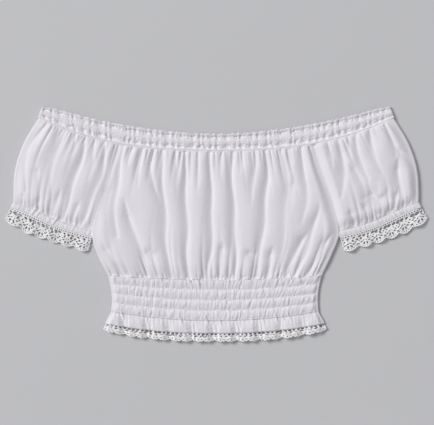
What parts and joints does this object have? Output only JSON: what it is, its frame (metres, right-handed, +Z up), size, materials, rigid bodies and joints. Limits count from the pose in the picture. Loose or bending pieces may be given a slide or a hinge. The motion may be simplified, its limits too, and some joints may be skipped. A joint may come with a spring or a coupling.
{
  "type": "dirndl blouse",
  "caption": "Cropped off-shoulder cotton dirndl blouse laid flat, with a frilled neckline, puff sleeves with lace cuffs, a smocked waist and a lace-edged hem frill.",
  "frame": {"origin": "on the surface the blouse lies on, under the middle of its bounding box", "axes": "+X across the blouse towards the wearer's left sleeve, +Y from the hem to the neckline, +Z up from the surface, out of the front"},
  "size_m": [0.5932, 0.3282, 0.0094],
  "materials": {
    "cotton": "white cotton batiste, matt, faintly cool",
    "lace": "white cotton bobbin lace, matt"
  },
  "bodies": {
    "root": {"front_panel": "cotton", "back_panel": "cotton", "neck_casing_front": "cotton", "neck_casing_back": "cotton", "waist_shirring_front": "cotton", "waist_shirring_back": "cotton", "hem_frill_front": "cotton", "hem_frill_back": "cotton", "hem_lace_front": "lace", "hem_lace_back": "lace", "sleeve_left": "cotton", "cuff_strip_left": "cotton", "cuff_lace_left_front": "lace", "cuff_lace_left_back": "lace", "sleeve_right": "cotton", "cuff_strip_right": "cotton", "cuff_lace_right_front": "lace", "cuff_lace_right_back": "lace"}
  },
  "joints": []
}
